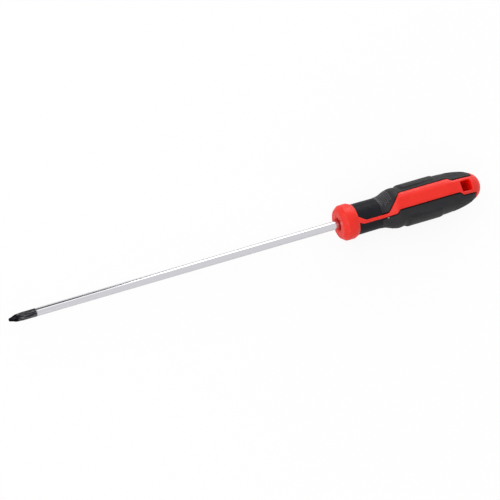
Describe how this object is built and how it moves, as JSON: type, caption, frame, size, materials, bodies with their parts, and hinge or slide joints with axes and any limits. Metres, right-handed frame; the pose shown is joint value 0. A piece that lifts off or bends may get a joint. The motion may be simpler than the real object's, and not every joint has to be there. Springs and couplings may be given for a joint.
{
  "type": "cross-point screwdriver",
  "caption": "Long cross-point screwdriver with a round steel blade and a moulded handle of red shell, black neck and soft grip pads, with a hanging hole in the butt.",
  "frame": {"origin": "on the tool's axis, in the front face of the bolster, where the blade leaves the handle", "axes": "+X along the tool towards the butt, -X towards the point, +Z the normal of one red panel, +Y the side of the right-hand grip pad"},
  "size_m": [0.3638, 0.03, 0.029],
  "materials": {
    "chromed_steel": "bright chrome plate, with a dark oxide finish on the point",
    "black_core": "satin hard plastic",
    "red_shell": "fine satin to gloss hard plastic",
    "soft_grip": "matte soft plastic with fine pips on the slopes"
  },
  "bodies": {
    "root": {"blade": "chromed_steel", "core": "black_core", "red_shell": "red_shell", "left_grip": "soft_grip", "right_grip": "soft_grip"}
  },
  "joints": []
}
